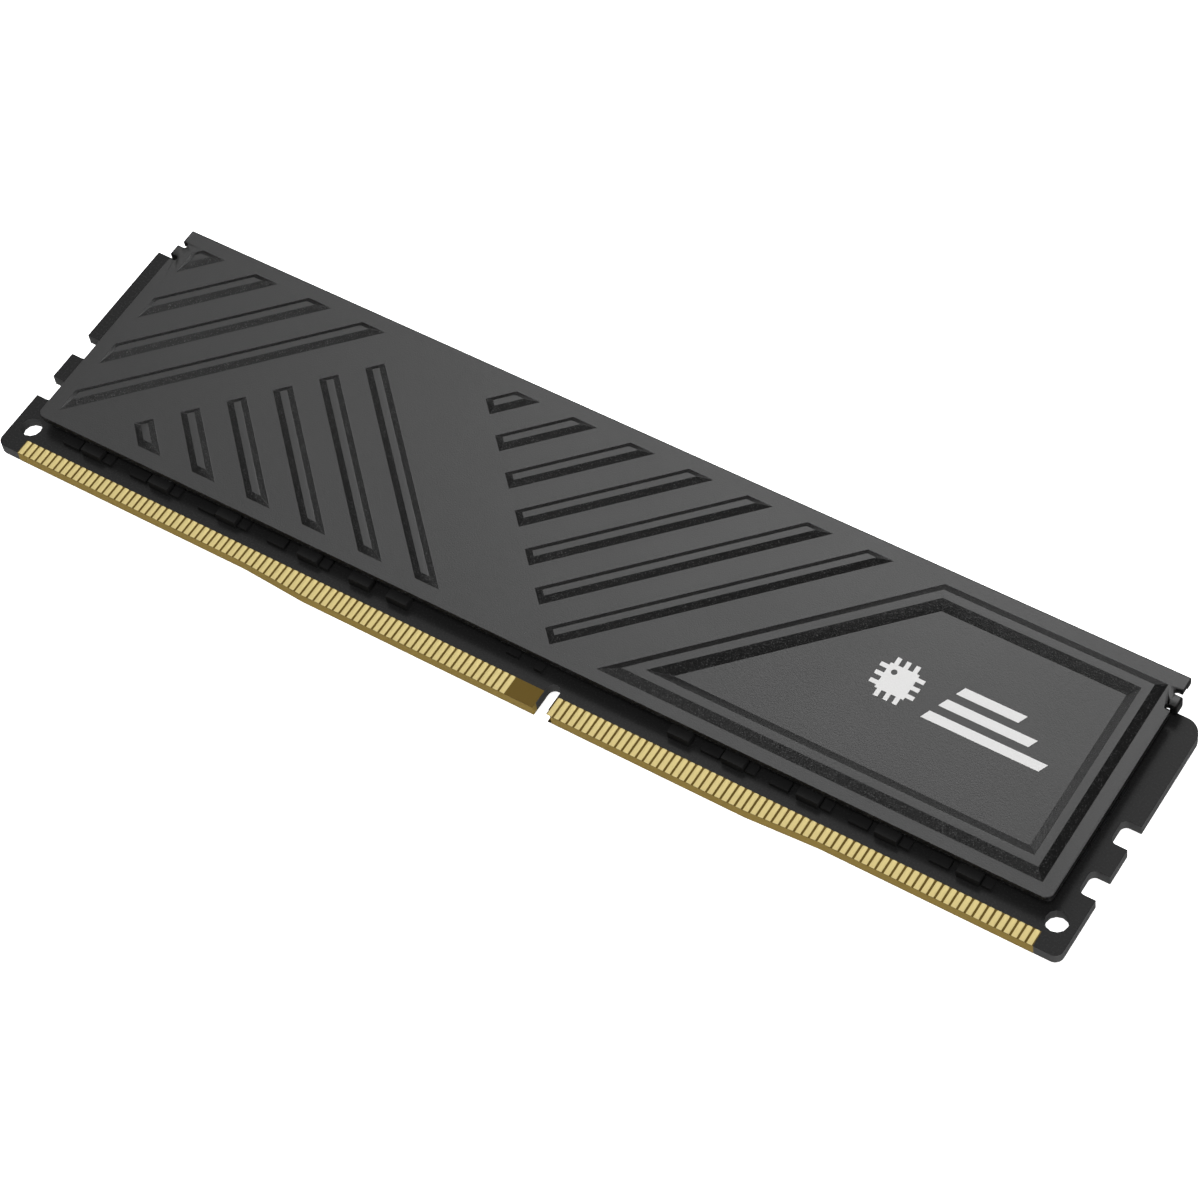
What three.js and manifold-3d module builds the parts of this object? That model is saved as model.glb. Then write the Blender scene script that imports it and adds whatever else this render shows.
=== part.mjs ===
// A 288-contact memory module with a stamped front heat spreader and a plainer rear one.
// Millimetres. Board frame: X runs from the left end along the contact edge, Y from the
// contact edge towards the top edge, Z = 0 is the middle plane of the board and the front
// spreader is on +Z. The whole group is then shifted so that its origin is the middle of
// its bounding box in X and Y and its lowest point in Z.
import * as THREE from 'three';
import { mergeVertices } from 'three/addons/utils/BufferGeometryUtils.js';
import Module from 'manifold-3d';

const wasm = await Module();
wasm.setup();

// ---------------------------------------------------------------- driving dimensions
const BOARD = {
  length: 133.35,
  height: 31.25,
  thickness: 1.4,
  endRise: 0.5, // the contact edge steps up by this much near both ends
  riseLeft: [34, 42], // where the left step starts and ends
  riseRight: [97.5, 106],
  bottomRadius: 1,
  topLeftRadius: 0.15,
  topRightRadius: 2,
};
const KEY = { x: 72.6, width: 1.6, top: 3.6, chamfer: 0.6 };
const END_NOTCHES = { bottoms: [8, 14.6], height: 3, depth: 2.05, radius: 0.75 };
const END_HOLES = { inset: 2.2, y: 4.1, radius: 1.25 };

const CONTACT = { pitch: 0.85, width: 0.6, top: 2.35, padHeight: 0.05, baseHeight: 0.02 };
const LEFT_CONTACTS = { count: 77, first: 3.35 };
const RIGHT_CONTACTS = { count: 67, first: 73.9 };
const STRIP_MARGIN = 0.4; // bare laminate past the middle of the outermost contact
const CLEARANCE = 1; // how far a cutting or trimming solid reaches past what it cuts

const STACK = { gap: 1.4, sheet: 0.8 }; // board face to spreader, and the sheet itself
const FRONT = { left: 3.1, right: 130.05, bottom: 4.7, top: 34.5, corner: 0.9 };
const REAR_TOP = 31;
const REAR_CORNERS = [5.4, 4]; // lower corners, cut back so that the board's end holes stay open
const HOOK_ROOT = 1.6; // how far a bent edge's section reaches into the sheet
const LIP = { depth: 1.2, radius: 0.25 }; // the front spreader's rolled top edge
const TAB = { bottom: 30.55, top: 31.9, bulge: 0.4, depth: 1.5, radius: 0.25 };
const RELIEF = { radius: 0.35, inset: 0.45, centres: [30.2, 32.25], sides: 16 };

const RIB = { pitch: 7.4, width: 2.2, height: 0.4, wall: 0.7 };
const FIELD = { left: 5, bottom: 6.6, margin: 1.9 }; // where ribs stop, and below the top
const RIB_GROUPS = {
  rising: 1.35, // first rib of the left group: its lower side is y - x = 1.35
  falling: 25.6, // first falling rib: its upper side is x + y = 25.6
  fallingEnd: -4.75, // the falling ribs end on y - x = -4.75
  upper: -19.35, // first rib of the upper group: its lower side is y - x = -19.35
  upperEnd: 76.5, // the upper group ends on x + y = 76.5
};
const RIB_COUNTS = { rising: 4, falling: 7, upper: 7 };
const RIDGE = { tip: -69.9, right: 128.4, bottom: 6.2, height: 0.6, wall: 1, flat: 1, inner: 1.1 };
const FLOOR_DROP = 0.06; // the framed panel lies this much below the spreader's face
const GROOVE_INSET = 0.3; // the hollow behind a stamped rib is this much narrower
const GROOVE_WALL = 0.6; // and its walls are this wide
const SKIRT = 0.2; // a stamped form starts this far inside the sheet
const MERGE = 1e-5; // corners closer than this are one corner

const DRAM = { width: 7.5, height: 12, bottom: 10.5, body: 0.85, balls: 0.2, ballInset: 0.4 };
const DRAM_OFFSETS = [13.4, 25.9, 38.4, 50.9]; // chip centres, either side of the middle
const EEPROM = { x: 66.7, y: 14, width: 2, height: 3, thickness: 0.75 };
const LANE_Y = 3.85; // lower edge of the small parts above the contacts
const LANE_ARRAYS = [6.9, 16.2, 25.6, 34.9, 90, 98.2, 107.5, 116.8];
const LANE_CAPS = [9.7, 19, 28.2, 39.1, 92.6, 101.5, 110.6, 120];
const ARRAY = { width: 2.25, depth: 1.2, height: 0.5 };
const CAP = { width: 2.6, depth: 1.3, height: 1.1, y: 3.7 };
const CHIP_RESISTOR = { width: 1.15, depth: 1.3, height: 0.5, gap: 0.15 };
const TALL_CAPS = [45.9, 50.8, 86.1];
const SMALL_PARTS = [
  { x: 65.7, y: 4.3, width: 1.6, depth: 0.9, height: 0.5 },
  { x: 69.4, y: 3.95, width: 1, depth: 1.8, height: 0.5 },
  { x: 126.3, y: 5.6, width: 1.65, depth: 0.9, height: 0.5 },
];
const END_ARRAYS = { right: 130.05, width: 0.95, length: 1.7, pitch: 2.05, bottom: 11.15, count: 5 };
const FRONT_PAD = { left: 9, right: 124.35, bottom: 9.6, top: 23.4 };

const MARK = { x: 101.5, y: 17.2, size: 5.2, thickness: 0.03 };
const PICTOGRAM = { leg: 0.9, legWidth: 0.52, legPitch: 1.1, dotInset: 0.8, dotRadius: 0.35 };
const STROKES = { height: 1.1, lean: 0.45, gap: 1.6, lengths: [13.6, 10.4, 7.2] };

const MATERIALS = {
  laminate: { color: 0x1b1c1d, roughness: 0.45, metalness: 0 },
  gold: { color: 0xd2bf83, roughness: 0.35, metalness: 0.9 },
  coated: { color: 0x4b4b4c, roughness: 0.6, metalness: 0.4 },
  package: { color: 0x17181a, roughness: 0.6, metalness: 0 },
  ceramic: { color: 0x2a2724, roughness: 0.5, metalness: 0 },
  pad: { color: 0x8d9297, roughness: 0.9, metalness: 0 },
  print: { color: 0xe6e6e4, roughness: 0.6, metalness: 0 },
};

const boardFace = BOARD.thickness / 2;
const innerFace = boardFace + STACK.gap;
const outerFace = innerFace + STACK.sheet;

// ---------------------------------------------------------------- solid helpers
function toSolid(geometry) {
  const bare = geometry.clone();
  bare.deleteAttribute('normal');
  bare.deleteAttribute('uv');
  const merged = mergeVertices(bare, MERGE);
  const mesh = new wasm.Mesh({
    numProp: 3,
    vertProperties: Float32Array.from(merged.attributes.position.array),
    triVerts: Uint32Array.from(merged.index.array),
  });
  return new wasm.Manifold(mesh);
}

function toGeometry(solid) {
  const mesh = solid.getMesh();
  const geometry = new THREE.BufferGeometry();
  geometry.setAttribute('position', new THREE.BufferAttribute(mesh.vertProperties, 3));
  geometry.setIndex(new THREE.BufferAttribute(mesh.triVerts, 1));
  geometry.computeVertexNormals();
  return geometry;
}

function joinAll(solids) {
  return solids.reduce((sum, solid) => sum.add(solid));
}

function box(x0, x1, y0, y1, z0, z1) {
  const geometry = new THREE.BoxGeometry(x1 - x0, y1 - y0, z1 - z0);
  return geometry.translate((x0 + x1) / 2, (y0 + y1) / 2, (z0 + z1) / 2);
}

// A shape in X and Y, from z0 up to z1.
function prism(shape, z0, z1, curveSegments = 6) {
  const options = { depth: z1 - z0, bevelEnabled: false, curveSegments };
  return new THREE.ExtrudeGeometry(shape, options).translate(0, 0, z0);
}

// A closed outline whose corners [x, y, radius] are rounded by true arcs.
function roundedShape(corners) {
  const shape = new THREE.Shape();
  corners.forEach(([x, y, radius = 0], i) => {
    const corner = new THREE.Vector2(x, y);
    const before = new THREE.Vector2(...corners.at(i - 1)).sub(corner).normalize();
    const after = new THREE.Vector2(...corners[(i + 1) % corners.length]).sub(corner).normalize();
    if (radius === 0) {
      if (i === 0) shape.moveTo(x, y);
      else shape.lineTo(x, y);
      return;
    }
    const half = Math.acos(before.dot(after)) / 2;
    const start = corner.clone().addScaledVector(before, radius / Math.tan(half));
    const end = corner.clone().addScaledVector(after, radius / Math.tan(half));
    const middle = before.clone().add(after).normalize();
    const centre = corner.clone().addScaledVector(middle, radius / Math.sin(half));
    const from = Math.atan2(start.y - centre.y, start.x - centre.x);
    const to = Math.atan2(end.y - centre.y, end.x - centre.x);
    const clockwise = before.cross(after) > 0;
    if (i === 0) shape.moveTo(start.x, start.y);
    else shape.lineTo(start.x, start.y);
    shape.absarc(centre.x, centre.y, radius, from, to, clockwise);
  });
  return shape;
}

// A solid skinned over a stack of convex rings, each with the same number of corners.
function loft(rings) {
  const count = rings[0].points.length;
  const positions = rings.flatMap(({ points, z }) => points.flatMap(([x, y]) => [x, y, z]));
  const index = [];
  for (let level = 0; level + 1 < rings.length; level += 1) {
    for (let i = 0; i < count; i += 1) {
      const a = level * count + i;
      const b = level * count + ((i + 1) % count);
      index.push(a, b, b + count, a, b + count, a + count);
    }
  }
  const last = (rings.length - 1) * count;
  for (let i = 1; i + 1 < count; i += 1) {
    index.push(0, i + 1, i);
    index.push(last, last + i, last + i + 1);
  }
  const geometry = new THREE.BufferGeometry();
  geometry.setAttribute('position', new THREE.Float32BufferAttribute(positions, 3));
  geometry.setIndex(index);
  return geometry;
}

// Half planes are [a, b, c] for a x + b y <= c with (a, b) a unit vector. This gives the
// corners of their common area, counter-clockwise, with each edge moved inwards by inset.
function cornersOf(halfPlanes, inset = 0) {
  return halfPlanes.map(([a1, b1, c1], i) => {
    const [a0, b0, c0] = halfPlanes.at(i - 1);
    const det = a0 * b1 - a1 * b0;
    const d0 = c0 - inset;
    const d1 = c1 - inset;
    return [(d0 * b1 - d1 * b0) / det, (a0 * d1 - a1 * d0) / det];
  });
}

// ---------------------------------------------------------------- board and contacts
function contactEdge(x) {
  const [l0, l1] = BOARD.riseLeft;
  const [r0, r1] = BOARD.riseRight;
  const left = THREE.MathUtils.clamp((l1 - x) / (l1 - l0), 0, 1);
  const right = THREE.MathUtils.clamp((x - r0) / (r1 - r0), 0, 1);
  return BOARD.endRise * Math.max(left, right);
}

function endNotch(x, inward) {
  const floor = x + inward * END_NOTCHES.depth;
  return END_NOTCHES.bottoms.flatMap((bottom) => {
    const top = bottom + END_NOTCHES.height;
    return [
      [x, bottom],
      [floor, bottom, END_NOTCHES.radius],
      [floor, top, END_NOTCHES.radius],
      [x, top],
    ];
  });
}

function boardShape() {
  const { length, height, endRise, riseLeft, riseRight, bottomRadius } = BOARD;
  const keyLeft = KEY.x - KEY.width / 2;
  const keyRight = KEY.x + KEY.width / 2;
  const keyRadius = KEY.width / 2 - 0.01;
  const shape = roundedShape([
    [0, endRise, bottomRadius],
    [riseLeft[0], endRise],
    [riseLeft[1], 0],
    [keyLeft, 0],
    [keyLeft, KEY.top, keyRadius],
    [keyRight, KEY.top, keyRadius],
    [keyRight, KEY.chamfer],
    [keyRight + KEY.chamfer, 0],
    [riseRight[0], 0],
    [riseRight[1], endRise],
    [length, endRise, bottomRadius],
    ...endNotch(length, -1),
    [length, height, BOARD.topRightRadius],
    [0, height, BOARD.topLeftRadius],
    ...endNotch(0, 1).reverse(),
  ]);
  for (const x of [END_HOLES.inset, length - END_HOLES.inset]) {
    const hole = new THREE.Path();
    hole.absarc(x, END_HOLES.y, END_HOLES.radius, 0, 2 * Math.PI, true);
    shape.holes.push(hole);
  }
  return shape;
}

// A layer on the board's front (side 1) or rear (side -1) face, cut off below by later steps.
function layer(x0, x1, height, side) {
  const z = side * (boardFace + height);
  const face = side * boardFace;
  return toSolid(box(x0, x1, -CLEARANCE, CONTACT.top, Math.min(face, z), Math.max(face, z)));
}

// One edge connector strip: raised contact fingers on a thin bare strip of laminate, both
// cut off along the stepped contact edge.
function contactStrip({ count, first }, stripLeft, stripRight, side) {
  const base = layer(stripLeft, stripRight, CONTACT.baseHeight, side);
  const fingers = Array.from({ length: count }, (_, i) => {
    const x0 = first + i * CONTACT.pitch - CONTACT.width / 2;
    return layer(x0, x0 + CONTACT.width, CONTACT.padHeight, side);
  });
  const breaks = [...BOARD.riseLeft, ...BOARD.riseRight];
  const inside = breaks.filter((x) => x > stripLeft && x < stripRight);
  const left = stripLeft - CLEARANCE;
  const right = stripRight + CLEARANCE;
  const top = CONTACT.top + CLEARANCE;
  const lower = [left, ...inside, right].map((x) => [x, contactEdge(x)]);
  const area = roundedShape([...lower, [right, top], [left, top]]);
  const keep = toSolid(prism(area, -boardFace - CLEARANCE, boardFace + CLEARANCE));
  return toGeometry(joinAll([base, ...fingers]).intersect(keep));
}

function leftStrip(side) {
  const start = LEFT_CONTACTS.first - STRIP_MARGIN;
  return contactStrip(LEFT_CONTACTS, start, KEY.x - KEY.width / 2, side);
}

function rightStrip(side) {
  const start = KEY.x + KEY.width / 2 + KEY.chamfer;
  const last = RIGHT_CONTACTS.first + (RIGHT_CONTACTS.count - 1) * CONTACT.pitch;
  const left = Math.min(start, RIGHT_CONTACTS.first - STRIP_MARGIN);
  return contactStrip(RIGHT_CONTACTS, left, last + STRIP_MARGIN, side);
}

// ---------------------------------------------------------------- spreader stamping
const DIAGONAL = Math.SQRT1_2;

// The three rib fields, as lists of half planes; top is where the upper rib ends stop.
function ribOutlines(top) {
  const halfWidth = RIB.width * Math.SQRT2;
  const outlines = [];
  for (let k = 0; k < RIB_COUNTS.rising; k += 1) {
    const near = RIB_GROUPS.rising + k * RIB.pitch;
    outlines.push([
      [-1, 0, -FIELD.left],
      [DIAGONAL, -DIAGONAL, -near * DIAGONAL],
      [0, 1, top],
      [-DIAGONAL, DIAGONAL, (near + halfWidth) * DIAGONAL],
    ]);
  }
  for (let k = 0; k < RIB_COUNTS.falling; k += 1) {
    const right = RIB_GROUPS.falling + k * RIB.pitch;
    outlines.push([
      [0, -1, -FIELD.bottom],
      [DIAGONAL, DIAGONAL, right * DIAGONAL],
      [-DIAGONAL, DIAGONAL, RIB_GROUPS.fallingEnd * DIAGONAL],
      [-DIAGONAL, -DIAGONAL, (halfWidth - right) * DIAGONAL],
    ]);
  }
  for (let k = 0; k < RIB_COUNTS.upper; k += 1) {
    const near = RIB_GROUPS.upper - k * RIB.pitch;
    outlines.push([
      [-DIAGONAL, -DIAGONAL, -RIB_GROUPS.upperEnd * DIAGONAL],
      [DIAGONAL, -DIAGONAL, -near * DIAGONAL],
      [0, 1, top],
      [-DIAGONAL, DIAGONAL, (near + halfWidth) * DIAGONAL],
    ]);
  }
  return outlines.filter((outline) => isOpen(outline, top));
}

// A rib is kept only where its whole foot is below the top and its flat crest is open.
function isOpen(outline, top) {
  const slack = 0.01;
  const fits = cornersOf(outline).every(([, y]) => y < top + slack);
  const crest = cornersOf(outline, RIB.wall + slack);
  const inside = ([x, y]) => outline.every(([a, b, c]) => a * x + b * y < c - RIB.wall);
  return fits && crest.every(inside);
}

function frameOutline(top) {
  return [
    [0, -1, -RIDGE.bottom],
    [1, 0, RIDGE.right],
    [0, 1, top],
    [-DIAGONAL, DIAGONAL, RIDGE.tip * DIAGONAL],
  ];
}

// A stamped form: outline foot at z, narrower by wall at z + height, with a short skirt
// below z so that it joins or cuts the sheet cleanly.
function stamping(outline, z, height, wall, inset = 0) {
  const foot = cornersOf(outline, inset);
  const crest = cornersOf(outline, inset + wall);
  const skirt = height > 0 ? -SKIRT : SKIRT;
  const rings = [
    { points: foot, z: z + skirt },
    { points: foot, z },
    { points: crest, z: z + height },
  ];
  return toSolid(loft(height > 0 ? rings : rings.reverse()));
}

// Ribs and framed panel pressed into a flat sheet whose outer face is at outerFace.
function stamp(sheet, top, ribHeight) {
  const frame = frameOutline(top);
  const { height, wall, flat, inner } = RIDGE;
  const recess = wall + flat;
  let solid = sheet;
  for (const outline of ribOutlines(top)) {
    solid = solid.add(stamping(outline, outerFace, ribHeight, RIB.wall));
    solid = solid.subtract(stamping(outline, innerFace, ribHeight, GROOVE_WALL, GROOVE_INSET));
  }
  solid = solid.add(stamping(frame, outerFace, height, wall));
  solid = solid.subtract(stamping(frame, outerFace + height, -height - FLOOR_DROP, inner, recess));
  const islandTop = innerFace + height;
  const island = stamping(frame, islandTop, -height - SKIRT, inner, recess - GROOVE_INSET);
  const groove = stamping(frame, innerFace, height, wall, GROOVE_INSET).subtract(island);
  return solid.subtract(groove);
}

// ---------------------------------------------------------------- front spreader
// A section in (u, z), swept along the third axis from start to end.
function sweepX(section, x0, x1) {
  const toBoard = new THREE.Matrix4().set(0, 0, 1, 0, 1, 0, 0, 0, 0, 1, 0, 0, 0, 0, 0, 1);
  return toSolid(prism(roundedShape(section), x0, x1).applyMatrix4(toBoard));
}

function sweepY(section, y0, y1) {
  const toBoard = new THREE.Matrix4().set(1, 0, 0, 0, 0, 0, -1, 0, 0, 1, 0, 0, 0, 0, 0, 1);
  return toSolid(prism(roundedShape(section), -y1, -y0).applyMatrix4(toBoard));
}

// The sheet's free edge, rolled over towards the board: flat, bend and short flange.
function hookSection(edge, outward, depth, radius) {
  const inner = edge - outward * STACK.sheet;
  const root = edge - outward * HOOK_ROOT;
  const points = [
    [root, innerFace],
    [inner, innerFace],
    [inner, outerFace - depth],
    [edge, outerFace - depth],
    [edge, outerFace, radius],
    [root, outerFace],
  ];
  return outward > 0 ? points : points.reverse();
}

function reliefCut(edge, outward, y) {
  const { radius, inset, sides } = RELIEF;
  const centre = edge - outward * inset;
  const outside = edge + outward * CLEARANCE;
  const low = innerFace - CLEARANCE;
  const high = outerFace + CLEARANCE;
  const round = new THREE.CylinderGeometry(radius, radius, high - low, sides).rotateX(Math.PI / 2);
  const [x0, x1] = [Math.min(centre, outside), Math.max(centre, outside)];
  const slot = box(x0, x1, y - radius, y + radius, low, high);
  return toSolid(round.translate(centre, y, (low + high) / 2)).add(toSolid(slot));
}

function frontSpreader() {
  const { left, right, bottom, top, corner } = FRONT;
  const flatTop = top - LIP.radius;
  const sheet = prism(
    roundedShape([[left, bottom, corner], [right, bottom, corner], [right, flatTop], [left, flatTop]]),
    innerFace,
    outerFace,
  );
  const lip = sweepX(hookSection(top, 1, LIP.depth, LIP.radius), left, right);
  let body = stamp(toSolid(sheet), top - FIELD.margin, RIB.height).add(lip);
  for (const [edge, outward] of [[left, -1], [right, 1]]) {
    for (const y of RELIEF.centres) body = body.subtract(reliefCut(edge, outward, y));
    const tab = hookSection(edge + outward * TAB.bulge, outward, TAB.depth, TAB.radius);
    body = body.add(sweepY(tab, TAB.bottom, TAB.top));
  }
  return toGeometry(body);
}

// The rear spreader is drawn like the front one and turned over when it is placed. Its ribs
// are as high as its frame, so that the module lies evenly on its back.
function rearSpreader() {
  const { left, right, bottom, corner } = FRONT;
  const sheet = prism(
    roundedShape([
      [left, bottom, REAR_CORNERS[0]],
      [right, bottom, REAR_CORNERS[1]],
      [right, REAR_TOP, corner],
      [left, REAR_TOP, corner],
    ]),
    innerFace,
    outerFace,
  );
  return toGeometry(stamp(toSolid(sheet), REAR_TOP - FIELD.margin, RIDGE.height));
}

// ---------------------------------------------------------------- printed mark
// A plain pictogram of a chip: a square with three legs on each side and a pin-one hole.
function chipMark() {
  const { size, x, y } = MARK;
  const { leg, legWidth, legPitch, dotInset, dotRadius } = PICTOGRAM;
  const half = size / 2;
  const body = half - leg;
  const side = [];
  for (const offset of [-legPitch, 0, legPitch]) {
    const [start, end] = [offset - legWidth / 2, offset + legWidth / 2];
    side.push([start, -body], [start, -half], [end, -half], [end, -body]);
  }
  const outline = [];
  for (let turn = 0; turn < 4; turn += 1) {
    const angle = (turn * Math.PI) / 2;
    const cos = Math.round(Math.cos(angle));
    const sin = Math.round(Math.sin(angle));
    outline.push(...[[-body, -body], ...side].map(([u, v]) => [u * cos - v * sin, u * sin + v * cos]));
  }
  const shape = roundedShape(outline.map(([u, v]) => [u + x + half, v + y + half]));
  const dot = new THREE.Path();
  dot.absarc(x + half - dotInset, y + half + dotInset, dotRadius, 0, 2 * Math.PI, true);
  shape.holes.push(dot);
  return shape;
}

// One of the slanted strokes beside the pictogram, counted from the lowest.
function strokeMark(i) {
  const { size, x, y } = MARK;
  const { height, lengths } = STROKES;
  const low = (i * (size - height)) / (lengths.length - 1);
  const high = low + height;
  const lean = (rise) => x + size + STROKES.gap + rise * STROKES.lean;
  return roundedShape([
    [lean(low), y + low],
    [lean(low) + lengths[i], y + low],
    [lean(high) + lengths[i], y + high],
    [lean(high), y + high],
  ]);
}

// ---------------------------------------------------------------- small parts
// A ball grid package: a moulded body standing on a slightly smaller field of balls.
function dramGeometry() {
  const { width, height, body, balls, ballInset } = DRAM;
  const low = boardFace;
  const side = width / 2 - ballInset;
  const field = box(-side, side, ballInset, height - ballInset, low, low + balls);
  const moulding = box(-width / 2, width / 2, 0, height, low + balls, low + balls + body);
  return toGeometry(toSolid(field).add(toSolid(moulding)));
}

function partOnBoard({ x, y, width, depth, height }) {
  return box(x, x + width, y, y + depth, boardFace, boardFace + height);
}

// ---------------------------------------------------------------- assembly
const module3d = new THREE.Group();

function addPiece(name, geometry, material) {
  const mesh = new THREE.Mesh(geometry, new THREE.MeshStandardMaterial(MATERIALS[material]));
  mesh.name = name;
  module3d.add(mesh);
  return mesh;
}

function addContacts() {
  for (const [name, side] of [['front', 1], ['rear', -1]]) {
    addPiece(`${name}_contacts_left`, leftStrip(side), 'gold');
    addPiece(`${name}_contacts_right`, rightStrip(side), 'gold');
  }
}

function addChips() {
  const middle = BOARD.length / 2;
  const offsets = [...DRAM_OFFSETS.map((d) => -d).reverse(), ...DRAM_OFFSETS];
  offsets.forEach((offset, i) => {
    const chip = addPiece(`dram_chip_${i + 1}`, dramGeometry(), 'package');
    chip.position.set(middle + offset, DRAM.bottom, 0);
  });
  const { x, y, width, height, thickness } = EEPROM;
  addPiece('spd_eeprom', partOnBoard({ x, y, width, depth: height, height: thickness }), 'package');
}

function addSmallParts() {
  LANE_ARRAYS.forEach((x, i) => {
    addPiece(`lane_resistor_array_${i + 1}`, partOnBoard({ x, y: LANE_Y, ...ARRAY }), 'ceramic');
  });
  LANE_CAPS.forEach((x, i) => {
    const beside = x + CAP.width + CHIP_RESISTOR.gap;
    addPiece(`lane_capacitor_${i + 1}`, partOnBoard({ x, ...CAP }), 'ceramic');
    addPiece(`lane_resistor_${i + 1}`, partOnBoard({ x: beside, y: LANE_Y, ...CHIP_RESISTOR }), 'ceramic');
  });
  TALL_CAPS.forEach((x, i) => {
    addPiece(`supply_capacitor_${i + 1}`, partOnBoard({ x, ...CAP }), 'ceramic');
  });
  SMALL_PARTS.forEach((part, i) => {
    addPiece(`small_resistor_${i + 1}`, partOnBoard(part), 'ceramic');
  });
  for (let i = 0; i < END_ARRAYS.count; i += 1) {
    const { right, width, length, pitch, bottom } = END_ARRAYS;
    const place = { x: right - width, y: bottom + i * pitch, width, depth: length };
    addPiece(`termination_array_${i + 1}`, partOnBoard({ ...place, height: ARRAY.height }), 'ceramic');
  }
}

function addSpreaders() {
  const chipTop = boardFace + DRAM.balls + DRAM.body;
  const { left, right, bottom, top } = FRONT_PAD;
  addPiece('front_thermal_pad', box(left, right, bottom, top, chipTop, innerFace), 'pad');
  addPiece('rear_thermal_pad', box(left, right, bottom, top, -innerFace, -boardFace), 'pad');
  addPiece('front_heat_spreader', frontSpreader(), 'coated');
  const rear = addPiece('rear_heat_spreader', rearSpreader(), 'coated');
  rear.rotation.y = Math.PI;
  rear.position.x = FRONT.left + FRONT.right;
  const floor = outerFace - FLOOR_DROP;
  addPiece('printed_chip_mark', prism(chipMark(), floor, floor + MARK.thickness), 'print');
  STROKES.lengths.forEach((_, i) => {
    addPiece(`printed_stroke_${i + 1}`, prism(strokeMark(i), floor, floor + MARK.thickness), 'print');
  });
}

addPiece('circuit_board', prism(boardShape(), -boardFace, boardFace), 'laminate');
addContacts();
addChips();
addSmallParts();
addSpreaders();
module3d.position.set(-BOARD.length / 2, -FRONT.top / 2, outerFace + RIDGE.height);

export default module3d;
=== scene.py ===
"""A desktop memory module with a stamped, dark coated heat spreader, lying face up.

Metres throughout. X runs along the module, Y from the contact edge to the top edge, Z up.
"""
import math

import bmesh
import bpy
import numpy as np
from mathutils import Matrix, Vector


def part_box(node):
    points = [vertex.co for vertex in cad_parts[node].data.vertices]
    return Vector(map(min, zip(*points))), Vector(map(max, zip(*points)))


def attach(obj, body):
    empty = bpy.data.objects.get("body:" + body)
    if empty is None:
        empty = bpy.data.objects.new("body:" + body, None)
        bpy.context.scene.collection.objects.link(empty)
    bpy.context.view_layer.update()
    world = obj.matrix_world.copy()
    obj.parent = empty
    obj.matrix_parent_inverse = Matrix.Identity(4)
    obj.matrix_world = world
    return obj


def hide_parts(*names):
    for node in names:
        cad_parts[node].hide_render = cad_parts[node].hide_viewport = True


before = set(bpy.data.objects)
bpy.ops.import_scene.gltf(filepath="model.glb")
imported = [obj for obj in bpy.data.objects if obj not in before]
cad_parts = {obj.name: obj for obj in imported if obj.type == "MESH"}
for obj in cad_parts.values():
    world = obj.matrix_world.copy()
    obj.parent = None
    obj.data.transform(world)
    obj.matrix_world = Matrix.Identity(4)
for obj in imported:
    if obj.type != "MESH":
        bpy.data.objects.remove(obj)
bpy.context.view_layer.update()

MM = 0.001

# ---------------------------------------------------------------- sizes
LOOK_AT = (70.44 * MM, 15.17 * MM, 0.7 * MM)  # from the board's low corner
CAMERA_AZIMUTH = math.radians(40.94)
CAMERA_ELEVATION = math.radians(55.13)
CAMERA_ROLL = math.radians(-10.26)
CAMERA_DISTANCE = 395.7 * MM
CAMERA_LENS = 112.12
SENSOR = 36.0
CLIP_START = 0.01

FLOOR_SIZE = 6.0
FLOOR_DROP = 0.02 * MM
WORLD_LEVEL = 0.11

END_RISE = 0.5 * MM  # the contact edge steps up by this much near both ends
RISE_LEFT = (34 * MM, 42 * MM)
RISE_RIGHT = (97.5 * MM, 106 * MM)
FINGER_PITCH = 0.85 * MM
FINGER_WIDTH = 0.6 * MM
FINGER_CORNER = 0.16 * MM
FINGER_EDGE = 0.02 * MM
FINGER_STEPS = 4
RIM_SHARE = 0.3  # of a finger's rounded edge, where its middle ring lies
FIRST_FINGERS = {"left": (77, 3.35 * MM), "right": (67, 73.9 * MM)}
FILM = 0.02 * MM  # bare strip between the fingers

# Each of these pairs says where a band of the board's sawn edge begins and is full.
SAWN_DEPTH = (0.02 * MM, 0.06 * MM)  # from the board's faces
PLATED_HEIGHT = (0.75 * MM, 0.6 * MM)  # above the contact edge
PLATED_LEFT = (2.9 * MM, 3 * MM)  # from the board's left end
PLATED_RIGHT = (130.5 * MM, 130.4 * MM)

SLAB_STEPS = 3
SLAB_TOP_INSET = 1.3  # of the edge's radius, where the last ring lies on the flat top
LEAST_CORNER = 0.3  # of the corner's radius
PAD_CORNER = 1.2 * MM
PAD_EDGE = 0.15 * MM
EEPROM_CORNER = 0.1 * MM
EEPROM_EDGE = 0.08 * MM
SMALL_CORNER = 0.03 * MM
SMALL_EDGE = 0.02 * MM
SMOOTH_ANGLE = math.radians(40)

FOLD_ROUND = 0.035 * MM
FOLD_SEGMENTS = 2
FOLD_ANGLE = math.radians(25)
FOLD_WEIGHT = 100
MERGE_DISTANCE = 0.0005 * MM


# ---------------------------------------------------------------- camera, floor and light
def look_axes(azimuth, elevation, roll):
    """Right, up and back of a viewer at this azimuth and elevation, turned by roll."""
    sin_a, cos_a = math.sin(azimuth), math.cos(azimuth)
    back = np.array([sin_a * math.cos(elevation), -cos_a * math.cos(elevation), math.sin(elevation)])
    right = np.array([cos_a, sin_a, 0.0])
    up = np.cross(back, right)
    turned_right = right * math.cos(roll) + up * math.sin(roll)
    turned_up = up * math.cos(roll) - right * math.sin(roll)
    return turned_right, turned_up, back


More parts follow.
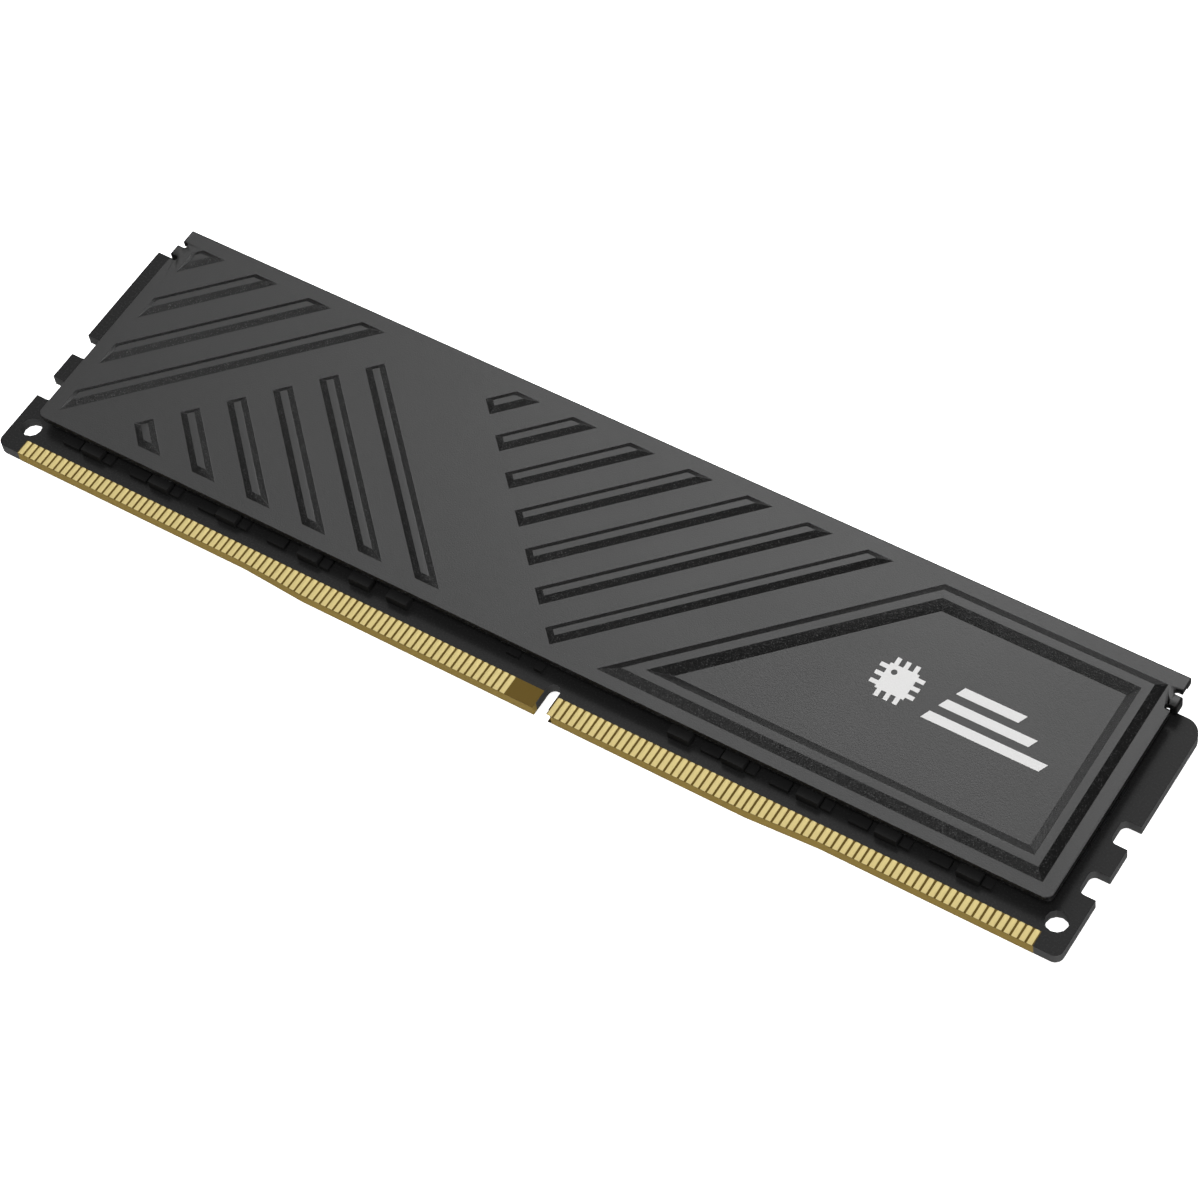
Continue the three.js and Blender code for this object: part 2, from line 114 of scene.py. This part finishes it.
def place(obj, axes, position):
    """Turn an object to three axes, as columns, and move it to a position."""
    matrix = Matrix.Identity(4)
    for column, axis in enumerate(axes):
        for row in range(3):
            matrix[row][column] = float(axis[row])
    matrix.translation = [float(v) for v in position]
    obj.matrix_world = matrix


def link(name, data):
    """A new object in the scene around some data."""
    obj = bpy.data.objects.new(name, data)
    bpy.context.scene.collection.objects.link(obj)
    return obj


def add_camera():
    data = bpy.data.cameras.new("camera")
    data.lens = CAMERA_LENS
    data.sensor_width = SENSOR
    data.clip_start = CLIP_START
    camera = link("camera", data)
    axes = look_axes(CAMERA_AZIMUTH, CAMERA_ELEVATION, CAMERA_ROLL)
    target = np.array(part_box("circuit_board")[0]) + np.array(LOOK_AT)
    place(camera, axes, target + axes[2] * CAMERA_DISTANCE)
    bpy.context.scene.camera = camera


def add_lamp(name, azimuth, elevation, distance, size, power):
    """A rectangular lamp that looks at the middle of the module."""
    data = bpy.data.lights.new(name, "AREA")
    data.shape = "RECTANGLE"
    data.size, data.size_y = size
    data.energy = power
    lamp = link(name, data)
    axes = look_axes(math.radians(azimuth), math.radians(elevation), 0)
    place(lamp, axes, axes[2] * distance)
    return lamp


def add_soft_box(name, azimuth, elevation, distance, size, power):
    """A broad light that lifts the matt surfaces and leaves no glint."""
    add_lamp(name, azimuth, elevation, distance, (size, size), power).visible_glossy = False


def add_reflection(name, azimuth, elevation, width, height, level, distance=2.0):
    """A bright panel seen in glossy surfaces only; its width and height are in degrees."""
    size = [2 * distance * math.tan(math.radians(angle) / 2) for angle in (width, height)]
    power = level * math.pi * size[0] * size[1]
    add_lamp(name, azimuth, elevation, distance, size, power).visible_diffuse = False


def add_world():
    world = bpy.data.worlds.new("studio")
    world.use_nodes = True
    background = world.node_tree.nodes["Background"]
    background.inputs["Color"].default_value = (1, 1, 1, 1)
    background.inputs["Strength"].default_value = WORLD_LEVEL
    bpy.context.scene.world = world


def add_floor():
    """A square sheet of glowing pale paper a hair below the module, left out of reflections; its
    glow lights the module from below and fills in its shadows.
    """
    mesh = bpy.data.meshes.new("floor")
    corners = np.array([[-1, -1, 0], [1, -1, 0], [1, 1, 0], [-1, 1, 0]]) * FLOOR_SIZE / 2
    corners[:, 2] = -FLOOR_DROP
    mesh.from_pydata(corners.tolist(), [], [(0, 1, 2, 3)])
    mesh.materials.append(glowing_floor_paper())
    obj = link("floor", mesh)
    obj.visible_glossy = False


# ---------------------------------------------------------------- node trees as expressions
class Wire:
    """One output of a node. Arithmetic on it adds Math nodes."""

    def __init__(self, paint, socket):
        self.paint = paint
        self.socket = socket

    def maths(self, operation, *values):
        return self.paint.node("ShaderNodeMath", {"operation": operation}, dict(enumerate(values)))

    def __add__(self, other):
        return self.maths("ADD", self, other)

    __radd__ = __add__

    def __mul__(self, other):
        return self.maths("MULTIPLY", self, other)

    def __sub__(self, other):
        return self.maths("SUBTRACT", self, other)

    def __rsub__(self, other):
        return self.maths("SUBTRACT", other, self)

    def __abs__(self):
        return self.maths("ABSOLUTE", self)

    def rises(self, start, end):
        """0 before start and 1 past end, smooth in between; start may be the larger."""
        sockets = {"Value": self, "From Min": start, "From Max": end}
        return self.paint.node("ShaderNodeMapRange", {"interpolation_type": "SMOOTHSTEP"}, sockets)


class Paint:
    """A material built up from nodes around one Principled shader."""

    def __init__(self, name, **constants):
        self.material = bpy.data.materials.new(name)
        self.material.use_nodes = True
        self.tree = self.material.node_tree
        self.tree.nodes.clear()
        self.shader = self.tree.nodes.new("ShaderNodeBsdfPrincipled")
        output = self.tree.nodes.new("ShaderNodeOutputMaterial")
        self.tree.links.new(self.shader.outputs["BSDF"], output.inputs["Surface"])
        self.set(**constants)

    def node(self, kind, settings=None, sockets=None, out=0):
        """Add a node: its settings first, then the values or wires of its sockets."""
        made = self.tree.nodes.new(kind)
        for key, value in (settings or {}).items():
            setattr(made, key, value)
        for key, value in (sockets or {}).items():
            self.feed(made.inputs[key], value)
        return Wire(self, made.outputs[out])

    def feed(self, socket, value):
        if isinstance(value, Wire):
            self.tree.links.new(value.socket, socket)
        else:
            socket.default_value = value

    def set(self, **values):
        """Set or link the shader's sockets; an underscore stands for a space."""
        for key, value in values.items():
            self.feed(self.shader.inputs[key.replace("_", " ")], value)

    def position(self):
        """Object coordinates."""
        return self.node("ShaderNodeTexCoord", out="Object")

    def axis(self, vector, letter):
        """X, Y or Z of a vector."""
        return self.node("ShaderNodeSeparateXYZ", None, {0: vector}, out=letter)

    def noise(self, where, grain, detail, stretch=None):
        """Noise whose blobs are about this many metres across."""
        if stretch:
            where = self.node("ShaderNodeMapping", None, {"Vector": where, "Scale": stretch})
        sockets = {"Vector": where, "Scale": 1 / grain, "Detail": detail}
        return self.node("ShaderNodeTexNoise", None, sockets, out="Fac")

    def blend(self, share, first, second):
        """A colour between two colours."""
        sockets = {0: share, 6: first, 7: second}
        return self.node("ShaderNodeMix", {"data_type": "RGBA"}, sockets, out=2)

    def bump(self, height, depth):
        """A normal for a relief of this depth in metres where height goes from 0 to 1."""
        sockets = {"Height": height, "Distance": depth, "Strength": 1.0}
        return self.node("ShaderNodeBump", None, sockets)


def grey(level, warmth=0.0):
    """A linear grey, a little redder and less blue for a positive warmth."""
    return (level * (1 + warmth), level, level * (1 - warmth), 1)


def slope(paint):
    """0 on faces that look straight up or down, 1 on upright walls."""
    normal = paint.node("ShaderNodeNewGeometry", out="Normal")
    return 1 - abs(paint.axis(normal, "Z"))


# ---------------------------------------------------------------- materials
def coated_sheet():
    """Dark powder coat on stamped sheet: fine orange peel, and painted sparkle, pale flecks put on
    the sloping walls only that stand in for glints of light on the grain.
    """
    paint = Paint("dark_coat", Metallic=0.0, Specular_IOR_Level=0.5)
    where = paint.position()
    fine = paint.noise(where, 0.16 * MM, detail=3)
    broad = paint.noise(where, 9 * MM, detail=2)
    sand = paint.noise(where, 0.14 * MM, detail=1)
    wall = slope(paint).rises(0.05, 0.12)
    # painted sparkle: pale flecks on the walls only, painted glints of light rather than the coat's
    # own colour
    painted_sparkle = sand.rises(0.56, 0.76) * wall
    paint.set(Base_Color=paint.blend(painted_sparkle, grey(0.003), grey(0.05)))
    paint.set(Roughness=0.26 + fine * 0.06 + broad * 0.04)
    paint.set(Normal=paint.bump(fine * 1.2 + sand * (0.3 + wall * 3), 0.01 * MM))
    return paint.material


def board_laminate():
    """Black solder mask over glass laminate.

    The sawn edges are a lighter grey, and brass coloured along the contacts.
    """
    paint = Paint("black_laminate", Specular_IOR_Level=0.11)
    where = paint.position()
    low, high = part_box("circuit_board")
    middle = (low[2] + high[2]) / 2
    half = (high[2] - low[2]) / 2
    sawn = abs(paint.axis(where, "Z") - middle).rises(half - SAWN_DEPTH[0], half - SAWN_DEPTH[1])
    grain = paint.noise(where, 0.3 * MM, detail=3)
    glass = paint.noise(where, 0.25 * MM, detail=2, stretch=(0.15, 0.15, 1))
    mask_colour = paint.blend(grain, grey(0.0105), grey(0.0125))
    bare_colour = paint.blend(glass, grey(0.04), grey(0.06))
    plated_colour = paint.blend(glass, (0.17, 0.115, 0.021, 1), (0.22, 0.15, 0.03, 1))
    near = (paint.axis(where, "Y") - low[1]).rises(*PLATED_HEIGHT)
    along = paint.axis(where, "X") - low[0]
    plated = near * (along.rises(*PLATED_LEFT) * along.rises(*PLATED_RIGHT))
    edge_colour = paint.blend(plated, bare_colour, plated_colour)
    paint.set(Base_Color=paint.blend(sawn, mask_colour, edge_colour))
    paint.set(Roughness=0.24 + grain * 0.06 + sawn * 0.4)
    paint.set(Normal=paint.bump(grain, 0.004 * MM))
    return paint.material


def gold_plate(name, colour, dark, roughness):
    """Hard gold over nickel with faint draw marks along each finger."""
    paint = Paint(name, Metallic=0.35, Specular_IOR_Level=0.4)
    where = paint.position()
    drawn = paint.noise(where, 0.12 * MM, detail=2, stretch=(1, 0.08, 1))
    cloud = paint.noise(where, 5 * MM, detail=2)
    paint.set(Base_Color=paint.blend(drawn * 0.5 + cloud * 0.5, dark, colour))
    paint.set(Roughness=roughness + drawn * 0.15)
    paint.set(Normal=paint.bump(drawn, 0.002 * MM))
    return paint.material


def moulded_package():
    """Matt black moulding compound with a fine spark-eroded texture."""
    paint = Paint("moulding_compound", Specular_IOR_Level=0.4)
    spark = paint.noise(paint.position(), 0.12 * MM, detail=3)
    paint.set(Base_Color=paint.blend(spark, grey(0.012), grey(0.02)))
    paint.set(Roughness=0.55 + spark * 0.2, Normal=paint.bump(spark, 0.008 * MM))
    return paint.material


def dark_ceramic():
    """Fired ceramic body of a small part, with a slightly mottled glaze."""
    paint = Paint("dark_ceramic", Specular_IOR_Level=0.1)
    mottle = paint.noise(paint.position(), 0.35 * MM, detail=3)
    paint.set(Base_Color=paint.blend(mottle, grey(0.0072), grey(0.0108)))
    paint.set(Roughness=0.4 + mottle * 0.25, Normal=paint.bump(mottle, 0.006 * MM))
    return paint.material


def silicone_pad():
    """Soft grey gap filler with a dusty, slightly dimpled surface."""
    paint = Paint("gap_filler", Specular_IOR_Level=0.2)
    where = paint.position()
    dimple = paint.noise(where, 0.6 * MM, detail=3)
    dust = paint.noise(where, 0.15 * MM, detail=1)
    paint.set(Base_Color=paint.blend(dimple, grey(0.22), grey(0.3)))
    paint.set(Roughness=0.8 + dust * 0.15, Normal=paint.bump(dimple, 0.03 * MM))
    return paint.material


def screen_ink():
    """Off-white screen print whose film follows the grain of the coat below."""
    paint = Paint("white_ink", Specular_IOR_Level=0.3)
    grain = paint.noise(paint.position(), 0.16 * MM, detail=3)
    paint.set(Base_Color=paint.blend(grain, grey(0.7, 0.005), grey(0.78, 0.005)))
    paint.set(Roughness=0.5 + grain * 0.15, Normal=paint.bump(grain, 0.008 * MM))
    return paint.material


def glowing_floor_paper():
    """Pale paper with a hardly visible tooth that glows though it is no lamp, lighting the module
    from below and washing out its shadows on the floor.
    """
    # the paper glows: its emission is painted light that lights the module from below and hides the
    # floor's shadows
    paint = Paint("glowing_paper", Specular_IOR_Level=0.0, Roughness=1.0, Emission_Strength=0.93)
    paint.set(Emission_Color=(1, 1, 1, 1))
    tooth = paint.noise(paint.position(), 4 * MM, detail=2)
    paint.set(Base_Color=paint.blend(tooth, grey(0.92), grey(0.94)))
    return paint.material


# ---------------------------------------------------------------- meshes from rings
def ring_faces(copies, rings, points):
    """Faces of many stacks of rings: quads between neighbours and a cap on each end."""
    start = np.arange(copies)[:, None, None] * rings * points
    ring = start + np.arange(rings - 1)[None, :, None] * points
    here = np.arange(points)[None, None, :]
    after = (here + 1) % points
    corners = [ring + here, ring + after, ring + points + after, ring + points + here]
    quads = np.stack(corners, axis=-1).reshape(-1, 4)
    first = (start[:, 0] + here[0])[:, ::-1]
    last = start[:, 0] + here[0] + (rings - 1) * points
    return quads.tolist() + first.tolist() + last.tolist()


def add_piece(name, vertices, faces, materials):
    """A mesh object at the origin, smooth where its faces meet at less than SMOOTH_ANGLE."""
    mesh = bpy.data.meshes.new(name)
    mesh.from_pydata(vertices.reshape(-1, 3).tolist(), [], faces)
    mesh.validate()
    for material in materials:
        mesh.materials.append(material)
    mesh.shade_smooth()
    mesh.set_sharp_from_angle(angle=SMOOTH_ANGLE)
    obj = link(name, mesh)
    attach(obj, "root")
    return obj


def rounded_rectangle(low, high, radius):
    """Points counter-clockwise round a rectangle whose corners are quarter circles.

    A corner's points lie at centre + radius (cos t, sin t) while t turns a quarter round.
    """
    turn = np.linspace(0, np.pi / 2, SLAB_STEPS + 1)
    corners = []
    signs = [(1, 1), (-1, 1), (-1, -1), (1, -1)]
    for quarter, (sx, sy) in enumerate(signs):
        centre = np.where([sx > 0, sy > 0], high - radius, low + radius)
        angle = turn + quarter * np.pi / 2
        corners.append(centre + radius * np.stack([np.cos(angle), np.sin(angle)], axis=-1))
    return np.concatenate(corners)


def slab_rings(low, high, corner, edge):
    """Rings of a block with rounded corners and a rounded upper edge.

    Each ring is the block's rounded outline, drawn in by the profile of a quarter circle:
    inset = edge (1 - cos t), height = top - edge (1 - sin t). A last ring lies on the top.
    """
    turn = np.linspace(0, np.pi / 2, SLAB_STEPS + 1)
    inset = np.concatenate([[0.0], edge * (1 - np.cos(turn)), [edge * SLAB_TOP_INSET]])
    height = np.concatenate([[low[2]], high[2] - edge * (1 - np.sin(turn)), [high[2]]])
    rings = []
    for step, z in zip(inset, height):
        radius = max(corner - step, corner * LEAST_CORNER)
        outline = rounded_rectangle(np.array(low[:2]) + step, np.array(high[:2]) - step, radius)
        rings.append(np.column_stack([outline, np.full(len(outline), z)]))
    return np.array(rings)


# ---------------------------------------------------------------- pieces in place of nodes
def contact_edge(x):
    """How far the board's lower edge rises at x, measured from the board's left end.

    The rise falls in a straight line from END_RISE at the outer end of a slope to 0 at its
    inner end, and the larger of the left and the right one holds.
    """
    left = np.clip((RISE_LEFT[1] - x) / (RISE_LEFT[1] - RISE_LEFT[0]), 0, 1)
    right = np.clip((x - RISE_RIGHT[0]) / (RISE_RIGHT[1] - RISE_RIGHT[0]), 0, 1)
    return END_RISE * np.maximum(left, right)


def finger_rings(count, first, board_low, top, levels):
    """Rings of a row of fingers, by finger, level and point.

    The outline is a rectangle, its two upper corners quarter circles and its lower side on
    the stepped contact edge. The last two rings are drawn in and round the finger's rim.
    """
    turn = np.linspace(0, np.pi / 2, FINGER_STEPS)
    half = FINGER_WIDTH / 2
    reach = half - FINGER_CORNER
    right = reach + FINGER_CORNER * np.cos(turn)
    left = -reach - FINGER_CORNER * np.sin(turn)
    x = np.concatenate([[-half, half], right, left])
    right_drop = FINGER_CORNER * (np.sin(turn) - 1)
    left_drop = FINGER_CORNER * (np.cos(turn) - 1)
    drop = np.concatenate([[0, 0], right_drop, left_drop])
    inset = (np.array([0, 0, RIM_SHARE, 1]) * FINGER_EDGE)[:, None]
    centre = first + np.arange(count) * FINGER_PITCH
    along = centre[:, None, None] + x * (1 - inset / half)
    lower = board_low[1] + contact_edge(along) + inset
    y = np.where(np.arange(len(x)) < 2, lower, top - inset + drop)
    z = np.broadcast_to(np.array(levels)[:, None], y.shape)
    return np.stack([along + board_low[0], y, z], axis=-1)


def film_rings(low, high, board_low, levels):
    """Two rings round the bare strip: its lower side follows the stepped contact edge."""
    breaks = [b + board_low[0] for b in (*RISE_LEFT, *RISE_RIGHT)]
    columns = np.array([low[0], *(b for b in breaks if low[0] < b < high[0]), high[0]])
    edge = board_low[1] + contact_edge(columns - board_low[0])
    x = np.concatenate([columns, columns[::-1]])
    y = np.concatenate([edge, np.full(len(columns), high[1])])
    return np.stack([np.column_stack([x, y, np.full(len(x), level)]) for level in levels])


def contact_fingers(node, materials):
    """Fingers with rounded upper corners on a bare strip, in place of a plain strip."""
    low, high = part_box(node)
    board_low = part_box("circuit_board")[0]
    count, first = FIRST_FINGERS[node.split("_")[-1]]
    front = node.startswith("front")
    inner, outer = (low[2], high[2]) if front else (high[2], low[2])
    out = 1 if front else -1
    rim = out * FINGER_EDGE
    levels = [inner, outer - rim, outer - RIM_SHARE * rim, outer]
    fingers = finger_rings(count, first, board_low, high[1], levels)
    film = film_rings(low, high, board_low, (inner, inner + out * FILM))
    finger_faces = ring_faces(*fingers.shape[:3])
    start = fingers.size // 3
    film_faces = [[i + start for i in face] for face in ring_faces(1, *film.shape[:2])]
    faces = finger_faces + film_faces
    if not front:
        faces = [face[::-1] for face in faces]
    vertices = np.concatenate([fingers.reshape(-1, 3), film.reshape(-1, 3)])
    piece = add_piece(node + "_fingers", vertices, faces, materials)
    marks = np.zeros(len(piece.data.polygons), dtype=np.int32)
    marks[len(finger_faces):] = 1
    piece.data.polygons.foreach_set("material_index", marks)
    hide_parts(node)


def slab_piece(node, name, material, corner, edge):
    """A block with rounded corners and a rounded rim in place of a plain one."""
    low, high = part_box(node)
    rings = slab_rings(low, high, corner, edge)
    piece = add_piece(name, rings, ring_faces(1, *rings.shape[:2]), [material])
    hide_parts(node)


def softened_copy(node, name, material):
    """A merged copy of a node's mesh whose sharp folds get a small round."""
    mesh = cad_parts[node].data.copy()
    mesh.name = name
    work = bmesh.new()
    work.from_mesh(mesh)
    bmesh.ops.remove_doubles(work, verts=work.verts, dist=MERGE_DISTANCE)
    work.to_mesh(mesh)
    work.free()
    mesh.materials.clear()
    mesh.materials.append(material)
    mesh.shade_smooth()
    piece = link(name, mesh)
    bevel = piece.modifiers.new("fold_round", "BEVEL")
    bevel.width = FOLD_ROUND
    bevel.segments = FOLD_SEGMENTS
    bevel.limit_method = "ANGLE"
    bevel.angle_limit = FOLD_ANGLE
    bevel.use_clamp_overlap = False
    weigh = piece.modifiers.new("even_normals", "WEIGHTED_NORMAL")
    weigh.mode = "FACE_AREA"
    weigh.weight = FOLD_WEIGHT
    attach(piece, "root")
    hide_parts(node)


def set_material(node, material):
    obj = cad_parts[node]
    for slot in obj.material_slots:
        slot.material = material
    if not obj.material_slots:
        obj.data.materials.append(material)


# ---------------------------------------------------------------- the scene
add_camera()
add_world()
add_soft_box("key_box", azimuth=250, elevation=50, distance=4.0, size=2.4, power=60)
add_soft_box("right_box", azimuth=80, elevation=8, distance=3.0, size=1.0, power=40)
add_soft_box("fill_box", azimuth=30, elevation=65, distance=3.0, size=1.0, power=60)
add_reflection("wide_panel", azimuth=202, elevation=56, width=62, height=34, level=1.15)
add_reflection("back_panel", azimuth=203, elevation=50, width=24, height=20, level=3.3)
add_reflection("left_glow", azimuth=250, elevation=12, width=24, height=12, level=2.8)
add_reflection("rear_glow", azimuth=192, elevation=6, width=36, height=12, level=1.0)
add_reflection("front_panel", azimuth=320, elevation=35, width=18, height=18, level=2.8)
add_reflection(
    "near_panel", azimuth=341.6, elevation=75.8, width=12, height=12, level=6.0, distance=0.516
)
bpy.context.scene.view_settings.view_transform = "Standard"
add_floor()

coat = coated_sheet()
gold = gold_plate("contact_gold", (0.74, 0.61, 0.27, 1), (0.64, 0.52, 0.21, 1), 0.45)
bare = gold_plate("bare_strip", (0.15, 0.095, 0.013, 1), (0.12, 0.075, 0.01, 1), 0.6)
package = moulded_package()
ceramic = dark_ceramic()
laminate = board_laminate()
pad = silicone_pad()
ink = screen_ink()
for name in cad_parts:
    if name == "circuit_board":
        set_material(name, laminate)
    elif name.endswith("thermal_pad"):
        slab_piece(name, name + "_slab", pad, PAD_CORNER, PAD_EDGE)
    elif name.startswith("printed"):
        set_material(name, ink)
    elif "contacts" in name:
        contact_fingers(name, [gold, bare])
    elif name == "spd_eeprom":
        slab_piece(name, name + "_body", package, EEPROM_CORNER, EEPROM_EDGE)
    elif name.startswith("dram"):
        set_material(name, package)
    elif name.endswith("spreader"):
        softened_copy(name, name.replace("heat_spreader", "spreader_sheet"), coat)
    else:
        slab_piece(name, name + "_body", ceramic, SMALL_CORNER, SMALL_EDGE)
